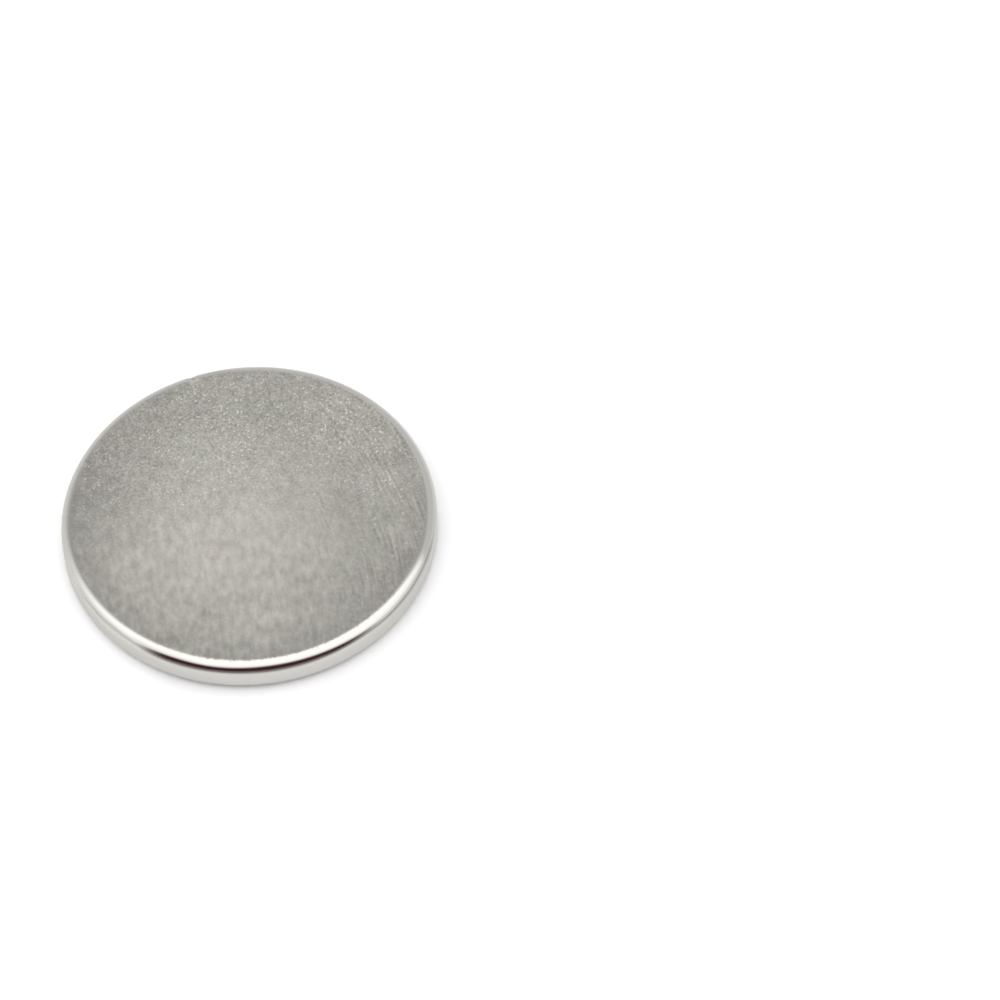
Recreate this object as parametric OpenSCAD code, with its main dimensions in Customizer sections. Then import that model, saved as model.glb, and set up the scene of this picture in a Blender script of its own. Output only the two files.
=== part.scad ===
// Nickel-plated disc magnet: one sintered solid, ground flat on both pole
// faces, round on its side wall and tumbled to a soft edge all round.
// Origin: centre of the lower pole face. +Z points through the thickness.

/* [Disc] */
// Diameter across the side wall
disc_d = 20; // [8:0.5:60]
// Thickness from pole face to pole face
disc_t = 2; // [1.5:0.1:12]

/* [Edges] */
// Radius that tumbling leaves on the upper and lower edge
edge_r = 0.65; // [0.1:0.05:0.7]

/* [Hidden] */
$fn = 180;

wall_r = disc_d / 2;

// Two roundings share the wall, and a narrow straight band stays between them
min_straight = 0.02;
round_r = min(edge_r, (disc_t - min_straight) / 2);
edge_centre_r = wall_r - round_r;
straight_wall_h = disc_t - 2 * round_r;

// Half of the section, from the axis out to the wall. The small squares of a
// sharp corner are left out, and a quarter of each circle shows in their place.
module half_section() {
    square([edge_centre_r, disc_t]);
    translate([0, round_r])
        square([wall_r, straight_wall_h]);
    for (edge_z = [round_r, disc_t - round_r])
        translate([edge_centre_r, edge_z])
            circle(r = round_r);
}

// The sintered disc with its plating, which follows the solid everywhere
module magnet_disc() {
    color([0.72, 0.70, 0.66])
        rotate_extrude()
            half_section();
}

magnet_disc();
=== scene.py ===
import math

import bpy
from mathutils import Matrix, Vector


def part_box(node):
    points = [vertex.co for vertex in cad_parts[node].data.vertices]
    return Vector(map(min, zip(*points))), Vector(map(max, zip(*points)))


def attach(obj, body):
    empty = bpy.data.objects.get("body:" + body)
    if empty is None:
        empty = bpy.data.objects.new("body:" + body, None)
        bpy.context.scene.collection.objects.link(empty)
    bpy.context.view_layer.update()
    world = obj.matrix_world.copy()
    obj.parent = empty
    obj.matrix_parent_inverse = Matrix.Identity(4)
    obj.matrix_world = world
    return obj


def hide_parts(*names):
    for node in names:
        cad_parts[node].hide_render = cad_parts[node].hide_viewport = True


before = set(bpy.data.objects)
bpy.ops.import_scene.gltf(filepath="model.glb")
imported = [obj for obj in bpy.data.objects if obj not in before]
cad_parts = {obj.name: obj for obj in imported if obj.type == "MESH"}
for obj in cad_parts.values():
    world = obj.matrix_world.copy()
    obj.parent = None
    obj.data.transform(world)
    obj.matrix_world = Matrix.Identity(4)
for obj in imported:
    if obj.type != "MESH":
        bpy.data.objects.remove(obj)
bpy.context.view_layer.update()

# The magnet disc: magnet powder pressed and sintered to one solid, ground flat on both pole
# faces, tumbled until both edges are round, and plated with nickel all over. Its section is
# a flat bar with rounded corners, turned once round the axis.
disc_low, disc_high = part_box("magnet_disc")
disc_r = (disc_high.x - disc_low.x) / 2
disc_t = disc_high.z - disc_low.z
height_slack = 1e-7
pole_face_r = max(
    v.co.xy.length
    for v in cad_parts["magnet_disc"].data.vertices
    if v.co.z > disc_high.z - height_slack
)
edge_r = disc_r - pole_face_r


class Wire:
    """A node's output. Arithmetic on a wire adds Math nodes, so a sum in a tree reads as a sum."""

    def __init__(self, socket):
        self.socket = socket

    @classmethod
    def node(cls, tree, kind, settings=None, inputs=None, output=None):
        """Adds a node of any type: its settings first, then its inputs' values or wires."""
        made = tree.nodes.new(kind)
        for name, value in (settings or {}).items():
            setattr(made, name, value)
        for name, value in (inputs or {}).items():
            named = (s for s in made.inputs if s.enabled and s.name == name)
            socket = made.inputs[name] if isinstance(name, int) else next(named)
            if isinstance(value, cls):
                tree.links.new(value.socket, socket)
            else:
                socket.default_value = value
        shown = [s for s in made.outputs if s.enabled and output in (None, s.name)]
        return cls(shown[0]) if shown else made

    @classmethod
    def math(cls, operation, first, second=0.0):
        """Adds a Math node for two values, at least one of which is a wire."""
        tree = next(value.socket.id_data for value in (first, second) if isinstance(value, cls))
        return cls.node(tree, "ShaderNodeMath", {"operation": operation}, {0: first, 1: second})

    def __add__(self, other):
        return Wire.math("ADD", self, other)

    def __sub__(self, other):
        return Wire.math("SUBTRACT", self, other)

    def __rsub__(self, other):
        return Wire.math("SUBTRACT", other, self)

    def __mul__(self, other):
        return Wire.math("MULTIPLY", self, other)

    def __truediv__(self, other):
        return Wire.math("DIVIDE", self, other)

    def __pow__(self, other):
        return Wire.math("POWER", self, other)

    __radd__ = __add__


def band(wire, start, end, low=0.0, high=1.0):
    """A smooth step from low at start to high at end."""
    return Wire.node(
        wire.socket.id_data,
        "ShaderNodeMapRange",
        {"interpolation_type": "SMOOTHSTEP"},
        {"Value": wire, "From Min": start, "From Max": end, "To Min": low, "To Max": high},
    )


def turned_disc_tree():
    """Sweeps the half section, with its rounded corners, once round the axis."""
    tree = bpy.data.node_groups.new("turned_disc", "GeometryNodeTree")
    for name, kind in (
        ("Disc Radius", "Float"),
        ("Thickness", "Float"),
        ("Edge Radius", "Float"),
        ("Edge Steps", "Int"),
        ("Turn Steps", "Int"),
        ("Longest Step", "Float"),
        ("Nick Place", "Vector"),
        ("Nick Size", "Float"),
        ("Nick Depth", "Float"),
        ("Pit Place", "Vector"),
        ("Pit Size", "Float"),
        ("Pit Depth", "Float"),
        ("Plating", "Material"),
    ):
        tree.interface.new_socket(name, in_out="INPUT", socket_type="NodeSocket" + kind)
    tree.interface.new_socket("Disc", in_out="OUTPUT", socket_type="NodeSocketGeometry")

    def given(name):
        return Wire.node(tree, "NodeGroupInput", output=name)

    def point(x, y):
        return Wire.node(tree, "ShaderNodeCombineXYZ", inputs={"X": x, "Y": y})

    # The section runs from the lower centre out to the wall and back to the upper centre. Its X is
    # measured from the wall, whose circle it follows, and its Y points down in that sweep.
    to_axis = 0.0 - given("Disc Radius")
    to_top = 0.0 - given("Thickness")
    section = Wire.node(
        tree,
        "GeometryNodeCurvePrimitiveQuadrilateral",
        {"mode": "POINTS"},
        {
            "Point 1": point(to_axis, 0.0),
            "Point 2": point(0.0, 0.0),
            "Point 3": point(0.0, to_top),
            "Point 4": point(to_axis, to_top),
        },
    )
    section = Wire.node(
        tree, "GeometryNodeSetSplineCyclic", inputs={"Geometry": section, "Cyclic": False}
    )
    section = Wire.node(
        tree,
        "GeometryNodeFilletCurve",
        {"mode": "POLY"},
        {"Curve": section, "Count": given("Edge Steps"), "Radius": given("Edge Radius")},
    )
    # Long straight stretches are cut up, so that no ring of faces is much wider than the rest
    along = Wire.node(tree, "GeometryNodeSplineParameter", output="Length")
    index = Wire.node(tree, "GeometryNodeInputIndex")
    along_next = Wire.node(
        tree,
        "GeometryNodeFieldAtIndex",
        {"domain": "POINT", "data_type": "FLOAT"},
        {"Value": along, "Index": index + 1.0},
    )
    section = Wire.node(
        tree,
        "GeometryNodeSubdivideCurve",
        inputs={"Curve": section, "Cuts": (along_next - along) / given("Longest Step")},
    )
    path = Wire.node(
        tree,
        "GeometryNodeCurvePrimitiveCircle",
        {"mode": "RADIUS"},
        {"Resolution": given("Turn Steps"), "Radius": given("Disc Radius")},
    )
    disc = Wire.node(
        tree, "GeometryNodeCurveToMesh", inputs={"Curve": path, "Profile Curve": section}
    )
    disc = Wire.node(
        tree, "GeometryNodeMergeByDistance", inputs={"Geometry": disc, "Distance": 1e-6}
    )
    # The sweep leaves the faces pointing into the metal
    disc = Wire.node(tree, "GeometryNodeFlipFaces", inputs={"Mesh": disc})
    # Knocks press the metal in, deepest at their place and less toward their rim
    for knock in ("Nick", "Pit"):
        away = Wire.node(
            tree,
            "ShaderNodeVectorMath",
            {"operation": "DISTANCE"},
            {0: Wire.node(tree, "GeometryNodeInputPosition"), 1: given(knock + " Place")},
        )
        pressed = band(away / given(knock + " Size"), 0.0, 1.0, 1.0, 0.0) * given(knock + " Depth")
        inward = Wire.node(
            tree,
            "ShaderNodeVectorMath",
            {"operation": "SCALE"},
            {"Vector": Wire.node(tree, "GeometryNodeInputNormal"), "Scale": 0.0 - pressed},
        )
        disc = Wire.node(
            tree, "GeometryNodeSetPosition", inputs={"Geometry": disc, "Offset": inward}
        )
    disc = Wire.node(
        tree, "GeometryNodeSetShadeSmooth", inputs={"Geometry": disc, "Shade Smooth": True}
    )
    disc = Wire.node(tree, "GeometryNodeRealizeInstances", inputs={"Geometry": disc})
    disc = Wire.node(
        tree, "GeometryNodeSetMaterial", inputs={"Geometry": disc, "Material": given("Plating")}
    )
    Wire.node(tree, "NodeGroupOutput", inputs={"Disc": disc})
    return tree


def parts_of(vector):
    """The three numbers of a vector."""
    split = Wire.node(vector.socket.id_data, "ShaderNodeSeparateXYZ", inputs={"Vector": vector})
    return [Wire(split.socket.node.outputs[axis]) for axis in "XYZ"]


def noise(vector, size, detail=2.0, roughness=0.5):
    """Smooth noise round 0.5, whose blobs are about size across."""
    return Wire.node(
        vector.socket.id_data,
        "ShaderNodeTexNoise",
        {"noise_dimensions": "3D"},
        {"Vector": vector, "Scale": 1 / size, "Detail": detail, "Roughness": roughness},
        output="Fac",
    )


def mixed(factor, first, second):
    """A colour between two colours."""
    return Wire.node(
        factor.socket.id_data,
        "ShaderNodeMix",
        {"data_type": "RGBA"},
        {"Factor": factor, "A": first, "B": second},
    )


mm = 0.001


def marks(place, spacing, long, wide, rarity):
    """Small oval marks, at most one to a cell, turned at random: most faint, a few strong."""
    tree = place.socket.id_data
    cell = Wire.node(
        tree,
        "ShaderNodeTexVoronoi",
        {"feature": "F1", "voronoi_dimensions": "2D"},
        {"Vector": place, "Scale": 1 / spacing, "Randomness": 1.0},
    ).socket.node
    draw = Wire.node(
        tree, "ShaderNodeSeparateColor", inputs={"Color": Wire(cell.outputs["Color"])}
    ).socket.node
    offset = Wire.node(
        tree,
        "ShaderNodeVectorMath",
        {"operation": "SUBTRACT"},
        {0: place, 1: Wire(cell.outputs["Position"])},
    )
    turned = Wire.node(
        tree,
        "ShaderNodeVectorRotate",
        {"rotation_type": "Z_AXIS"},
        {"Vector": offset, "Angle": Wire(draw.outputs["Green"]) * math.pi},
    )
    along, across, _ = parts_of(turned)
    along, across = along / long, across / wide
    oval = band(along * along + across * across, 0.1, 1.0, 1.0, 0.0)
    return oval * Wire(draw.outputs["Red"]) ** rarity


def satin_nickel():
    """Nickel over ground sintered metal: matt and grainy on the faces, bright on the rim."""
    plating_color = (0.630, 0.634, 0.607, 1.0)
    # Pale and dark colours for the pit and the nick; at the nick they are painted reflection and
    # painted shade
    pale_patch_color = (0.80, 0.785, 0.74, 1.0)
    dark_spot_color = (0.28, 0.275, 0.26, 1.0)
    material = bpy.data.materials.new("satin_nickel")
    material.use_nodes = True
    tree = material.node_tree
    tree.nodes.clear()
    place = Wire.node(tree, "ShaderNodeTexCoord", output="Object")
    x, y, _ = parts_of(place)

    def away_from(centre_x, centre_y):
        """The distance to the axis through a place, whose numbers are in millimetres."""
        off_x, off_y = x - centre_x * mm, y - centre_y * mm
        return (off_x * off_x + off_y * off_y) ** 0.5

    def round_patch(centre_x, centre_y, reach):
        """1 at a place, and less and less out to its reach, all in millimetres."""
        return band(away_from(centre_x, centre_y), 0.0, reach * mm, 1.0, 0.0)

    # Tumbling wore the grain off the rounded edge, along a slightly ragged line
    from_axis = away_from(0.0, 0.0)
    ragged = (noise(place, 0.13 * mm) - 0.5) * (0.40 * mm)
    on_face = band(from_axis + ragged, pole_face_r + 0.04 * mm, pole_face_r + 0.16 * mm, 1.0, 0.0)

    # Grain of the sintered metal under the plating: fine and sharp toward the back, where the
    # light catches single facets, and coarse and soft toward the front. The facets' glints are
    # painted into the colour as bright marks, and the marks also raise the relief a little.
    crisp = band(y, -4.0 * mm, 6.0 * mm)
    right_side = band(x, 1 * mm, 7 * mm)
    grain = noise(place, 0.115 * mm) - 0.5
    middle_grain = (noise(place, 0.19 * mm, 1.0) - 0.5) * right_side
    long_place = Wire.node(
        tree,
        "ShaderNodeMapping",
        {"vector_type": "TEXTURE"},
        {"Vector": place, "Scale": (0.38 * mm, 0.72 * mm, 0.5 * mm)},
    )
    coarse = noise(long_place, 1.0) - 0.5
    facets = marks(place, spacing=0.24 * mm, long=0.062 * mm, wide=0.055 * mm, rarity=4.0)
    hairlines = marks(place, spacing=0.42 * mm, long=0.15 * mm, wide=0.038 * mm, rarity=2.5)
    pores = marks(place, spacing=0.36 * mm, long=0.08 * mm, wide=0.06 * mm, rarity=3.0)
    spots = marks(place, spacing=0.75 * mm, long=0.11 * mm, wide=0.09 * mm, rarity=2.5)
    spots = spots * (crisp * 0.5 + band(x, 2 * mm, 7 * mm) * 0.5)

    # The grinding wheel left long faint arcs round a centre beside the disc
    wheel_x, wheel_y = -17.5 * mm, -6.7 * mm
    arc_spacing = 0.15 * mm
    arc_length = 1.4 * mm
    arc_middle_r = 20 * mm
    out_x, out_y = x - wheel_x, y - wheel_y
    arc_r = (out_x * out_x + out_y * out_y) ** 0.5
    arc_turn = Wire.math("ARCTAN2", out_y, out_x)
    arc_place = Wire.node(
        tree,
        "ShaderNodeCombineXYZ",
        inputs={"X": arc_r / arc_spacing, "Y": arc_turn * (arc_middle_r / arc_length)},
    )
    tracks = noise(arc_place, 1.0, 0.0) - 0.5
    broken = band(noise(place, 1.1 * mm, 1.0), 0.42, 0.60, 0.3, 1.0)
    deep_track = band(arc_r, 24.6 * mm, 25.6 * mm) * band(arc_r, 26.4 * mm, 27.6 * mm, 1.0, 0.0)
    arcs = tracks * (right_side * (deep_track * 0.25 + 0.45) + 0.15) * broken

    # The marks lie in loose clusters, and along the wheel's arcs at the right. They are fewer at
    # the left, and fade toward the edge.
    thick = band(noise(place, 1.5 * mm, 1.0), 0.38, 0.62, 0.55, 1.15)
    thick = thick * (1.0 - round_patch(-6.0, 5.0, 4.5) * 0.4)
    thick = thick * (tracks * right_side * 3.0 + 1.0)
    # Facets, hairlines and spots are painted glints, pale in the colour; pores are drawn darker
    bright_marks = facets * 1.1 + hairlines * 0.7 - pores * 0.35
    bright_marks = bright_marks * (crisp ** 1.6 * 0.95 + 0.05) * thick
    bright_marks = (bright_marks + spots * 0.5) * band(from_axis, 9.5 * mm, 8.6 * mm, 0.4, 1.0)

    # A paler, duller zone in the middle, and soft patches of tone. Toward the edge the face grows
    # a little darker, most of all at the front.
    zone = round_patch(-2.7, -2.6, 12.0)
    patches = round_patch(0.0, 0.0, 2.0) * 0.07 + round_patch(-6.3, -2.4, 2.2) * 0.10
    patches = patches - round_patch(7.2, -5.0, 4.5) * 0.05 - round_patch(5.2, 0.2, 2.2) * 0.06
    patches = patches - round_patch(-7.3, 2.0, 3.0) * 0.07 + round_patch(0.0, -7.2, 2.4) * 0.07
    patches = patches + round_patch(-2.0, 4.8, 2.4) * 0.05 - round_patch(2.0, 7.2, 2.2) * 0.07
    dark_rim = band(from_axis, 4 * mm, 6 * mm) * 0.025
    dark_rim = dark_rim + band(from_axis, 7.8 * mm, 9.2 * mm) * band(y, 3 * mm, 8 * mm, 0.07, 0.0)
    drift = x * (0.010 / mm) + y * (0.008 / mm)
    cloud = noise(place, 1.8 * mm, 3.0, 0.6) - 0.5
    ground_tone = -0.219
    shade = grain * (crisp * 0.8 + 0.2) + coarse * (0.66 - crisp * 0.33 - right_side * 0.35)
    shade = shade + middle_grain * 0.35 + arcs * 0.7 + bright_marks
    shade = shade + zone * 0.24 + drift + cloud * 0.12 + patches - dark_rim + ground_tone

    # The tone of the metal wavers between a greener and a redder grey
    redness = band(noise(place, 1.3 * mm), 0.35, 0.65)
    darkest = mixed(redness, (0.388, 0.390, 0.361, 1.0), (0.394, 0.382, 0.361, 1.0))
    palest = mixed(redness, (0.901, 0.905, 0.838, 1.0), (0.921, 0.893, 0.845, 1.0))
    face_color = mixed(shade * 1.25 + 0.5, darkest, palest)
    color = mixed(on_face, plating_color, face_color)

    # The pit near the left edge is drawn dark, and paler beside it. In the nick at the back the
    # dark is painted shade, and the pale patch beside it is a painted reflection of the nick's
    # sloped side.
    pale_patches = round_patch(-8.38, 4.41, 0.28) + round_patch(-2.26, 9.08, 0.30) * 1.6
    pale_patches = pale_patches + round_patch(-2.0, 9.16, 0.26) * 1.4
    dark_in_pit = band(away_from(-8.24, 4.64), 0.03 * mm, 0.13 * mm, 1.0, 0.0)
    painted_shade_in_nick = round_patch(-2.19, 9.29, 0.15)
    color = mixed(pale_patches * 0.5, color, pale_patch_color)
    color = mixed(dark_in_pit * 0.65 + painted_shade_in_nick * 0.5, color, dark_spot_color)

    height = grain * crisp + bright_marks * 0.5 + arcs * 0.6 + coarse * 0.5
    relief = Wire.node(
        tree,
        "ShaderNodeBump",
        inputs={"Strength": 1.0, "Distance": 0.006 * mm, "Height": height * on_face},
    )
    surface = Wire.node(
        tree,
        "ShaderNodeBsdfPrincipled",
        inputs={
            "Base Color": color,
            "Metallic": 1.0,
            "Roughness": 0.09 + on_face * (0.27 + zone * 0.06 + cloud * 0.1),
            "Normal": relief,
        },
    )
    Wire.node(tree, "ShaderNodeOutputMaterial", inputs={"Surface": surface})
    return material


disc_tree = turned_disc_tree()
disc_sizes = {
    "Disc Radius": disc_r,
    "Thickness": disc_t,
    "Edge Radius": edge_r,
    "Edge Steps": 18,
    "Turn Steps": 1080,
    "Longest Step": 0.9 * mm,
    "Nick Place": (-2.27 * mm, 9.60 * mm, 1.75 * mm),
    "Nick Size": 0.30 * mm,
    "Nick Depth": 0.055 * mm,
    "Pit Place": (-8.22 * mm, 4.66 * mm, 1.995 * mm),
    "Pit Size": 0.12 * mm,
    "Pit Depth": 0.04 * mm,
    "Plating": satin_nickel(),
}
blank = bpy.data.objects.new("disc_blank", bpy.data.meshes.new("disc_blank"))
bpy.context.scene.collection.objects.link(blank)
turning = blank.modifiers.new("turning", "NODES")
turning.node_group = disc_tree
for item in disc_tree.interface.items_tree:
    if item.in_out == "INPUT":
        turning[item.identifier] = disc_sizes[item.name]
bpy.context.view_layer.update()
turned = blank.evaluated_get(bpy.context.evaluated_depsgraph_get())
magnet = bpy.data.objects.new("magnet", bpy.data.meshes.new_from_object(turned))
bpy.context.scene.collection.objects.link(magnet)
bpy.data.objects.remove(blank)
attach(magnet, "root")
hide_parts("magnet_disc")

# The surface: a plain white sheet with a slight gloss, which the disc lies on. It shows white from
# a little way off the disc, and darkens where the disc shades it. Its gloss is weaker at the left,
# and darkened with painted shade at the front right; both show in the rim as thin soft lines.
floor_r = 3.0
floor_sides = 64
floor_mesh = bpy.data.meshes.new("floor")
floor_mesh.from_pydata(
    [
        (floor_r * math.cos(turn), floor_r * math.sin(turn), disc_low.z)
        for turn in (math.tau * step / floor_sides for step in range(floor_sides))
    ],
    [],
    [range(floor_sides)],
)
floor = bpy.data.objects.new("floor", floor_mesh)
bpy.context.scene.collection.objects.link(floor)
sheet = bpy.data.materials.new("white_sheet")
sheet.use_nodes = True
sheet_tree = sheet.node_tree
sheet_tree.nodes.clear()
sheet_x, sheet_y, _ = parts_of(Wire.node(sheet_tree, "ShaderNodeTexCoord", output="Object"))
ray = Wire.node(sheet_tree, "ShaderNodeLightPath").socket.node
camera_ray = Wire(ray.outputs["Is Camera Ray"])
seen = camera_ray + Wire(ray.outputs["Is Glossy Ray"]) + Wire(ray.outputs["Is Transmission Ray"])

# The sheet looks whiter to the camera, and a little whiter in the rim, than it lights the disc
# Toward the left and the right the camera sees the sheet whiter still: painted light, which lifts
# the disc's shadow there
pale_left = band(sheet_x, -4 * mm, -9.5 * mm, 0.0, 0.16)
pale_right = band(sheet_x, 3 * mm, 8 * mm, 0.0, 0.05)
whiteness = 0.86 + seen * 0.10 + camera_ray * (pale_left + pale_right)
camera_gain = {"Red": 0.07, "Green": 0.095, "Blue": 0.115}
white = Wire.node(
    sheet_tree,
    "ShaderNodeCombineColor",
    inputs={name: whiteness + camera_ray * gain for name, gain in camera_gain.items()},
)
paper = Wire.node(sheet_tree, "ShaderNodeBsdfDiffuse", inputs={"Color": white})

# Its gloss shows only to the disc, most of all at a slant. It is weak at the left, and painted
# shade darkens it at the front right
dull_left = band(sheet_x, -9.5 * mm, -11.5 * mm)
dull_left = dull_left * band(sheet_y, -9.5 * mm, -5.0 * mm)
dull_left = dull_left * band(sheet_y, -2.8 * mm, -0.6 * mm, 0.22, 0.0)
# Painted shade: the sheet's gloss at the front right is darkened toward black
painted_shade_right = band(sheet_x, 5.5 * mm, 10.5 * mm) * band(sheet_x, 24 * mm, 15 * mm)
painted_shade_right = painted_shade_right * band(sheet_y, -15 * mm, -11 * mm)
painted_shade_right = painted_shade_right * band(sheet_y, 0.0, -2.5 * mm, 0.0, 0.68)
bright_gloss = (0.95, 0.95, 0.95, 1.0)
no_gloss = (0.0, 0.0, 0.0, 1.0)
gloss_color = mixed(dull_left + painted_shade_right, bright_gloss, no_gloss)
gloss = Wire.node(
    sheet_tree, "ShaderNodeBsdfGlossy", inputs={"Color": gloss_color, "Roughness": 0.2}
)
facing = Wire.node(sheet_tree, "ShaderNodeLayerWeight", inputs={"Blend": 0.5}, output="Facing")
slant = band(facing, 0.10, 0.95, 0.0, 0.9) * (1.0 - camera_ray)
slant = slant * band(sheet_y, -2 * mm, 6 * mm, 1.0, 0.6)
paper = Wire.node(sheet_tree, "ShaderNodeMixShader", inputs={0: slant, 1: paper, 2: gloss})
Wire.node(sheet_tree, "ShaderNodeOutputMaterial", inputs={"Surface": paper})
floor_mesh.materials.append(sheet)

# The light: a wide soft box hangs overhead and reaches to the front and far to both sides. The
# room behind is pale, and a dark opening at the front shows in the rim as a thin dark line.
world = bpy.data.worlds.new("studio")
bpy.context.scene.world = world
world.use_nodes = True
sky = world.node_tree
sky.nodes.clear()
direction = Wire.node(sky, "ShaderNodeTexCoord", output="Generated")
east, north, up = parts_of(direction)

# The box is brightest overhead, with a little more light low at the left and halfway up at both
# sides. It reaches further back at the left than at the right.
to_left = 0.0 - Wire.math("MINIMUM", east, 0.0)
to_right = Wire.math("MAXIMUM", east, 0.0)
low = band(up, 0.0, 0.3, 1.0, 0.0)
halfway = band(up, 0.1, 0.3) * band(up, 0.55, 0.72, 1.0, 0.0)
left_gain = low * (band(north, -0.1, 0.3) * 0.13 + 0.04) + halfway * 0.05
side_gain = to_left * left_gain + to_right * halfway * 0.12
top_level = 1.61
box_level = Wire.math("MINIMUM", up * 1.1 + 0.80 + side_gain, top_level)
left_wall = band(up, 0.0, 0.75, 0.84, 0.49)
right_wall = band(up, 0.6, 0.85, 0.75, 0.50)
wall_level = left_wall + band(east, -0.4, 0.0) * (right_wall - left_wall)
box_edge = 0.40 + up * 0.16 + to_left * (0.50 - up * up * 0.8) - to_right * 0.24
box_inside = 0.12
under_box = band((box_edge - north) / (box_edge - box_inside), 0.0, 1.0)
level = wall_level + under_box * (box_level - wall_level)

# Toward the front, a direction is given by how far it goes aside and above for each step ahead
to_front = Wire.math("MAXIMUM", 0.0 - north, 0.01)
aside, above = east / to_front + 0.25, up / to_front

# A duller stretch of the box at the front left, and a duller wall below it
dull_box = band(up, 0.42, 0.60) * band(up, 0.68, 0.90, 1.0, 0.0)
dull_box = dull_box * band(aside, -0.45, -0.85) * band(aside, -1.5, -5.5, 1.0, 0.0)
dull_wall = band(up, 0.3, 0.5, 1.0, 0.0)
dull_wall = dull_wall * band(aside, -1.2, -2.5) * band(aside, -6.0, -12.0, 1.0, 0.0)
level = level - dull_box * 0.26 - dull_wall * 0.09

# The dark opening, whose foot slopes and sags a little at one spot
off_low_spot = Wire.math("ABSOLUTE", aside + 0.23)
above = above + aside * 0.185 + band(off_low_spot, 0.0, 0.65, 0.105, -0.065)
opening = band(above, 0.44, 1.06, 0.87, 0.0) + band(above, 0.6, 2.0, 0.13, 0.0)
off_middle = Wire.math("ABSOLUTE", aside) - to_right * 0.22
opening = opening * band(off_middle, 0.9, 2.2, 1.0, 0.0)
opening = opening * band(north, -0.1, 0.0, 1.0, 0.0)
room_color = (1.0, 0.975, 0.962, 1.0)
opening_color = (0.066, 0.021, 0.030, 1.0)
background = Wire.node(
    sky,
    "ShaderNodeBackground",
    inputs={
        "Color": mixed(opening, room_color, opening_color),
        "Strength": level * (1.0 - opening) + opening,
    },
)
Wire.node(sky, "ShaderNodeOutputWorld", inputs={"Surface": background})

# The camera stands at the front and looks down on the disc, which lies left of the middle
camera_elevation = math.radians(54.18)
camera_roll = math.radians(-6.26)
camera_distance = 1.5
aim = Vector((0.013354, 0.000607, 0.0))
picture_pixels = 1000
pixels_to_a_metre = 18825
picture_width = picture_pixels / pixels_to_a_metre
ahead = Vector((0, math.cos(camera_elevation), -math.sin(camera_elevation)))
level_right = Vector((1, 0, 0))
level_up = Vector((0, math.sin(camera_elevation), math.cos(camera_elevation)))
rightward = math.cos(camera_roll) * level_right + math.sin(camera_roll) * level_up
upward = math.cos(camera_roll) * level_up - math.sin(camera_roll) * level_right
lens = bpy.data.cameras.new("camera")
lens.sensor_width = 36.0
lens.lens = lens.sensor_width * camera_distance / picture_width
camera = bpy.data.objects.new("camera", lens)
camera.matrix_world = Matrix.Translation(aim - camera_distance * ahead) @ Matrix(
    (rightward, upward, -ahead)
).transposed().to_4x4()
bpy.context.scene.collection.objects.link(camera)
bpy.context.scene.camera = camera
bpy.context.scene.view_settings.view_transform = "Standard"
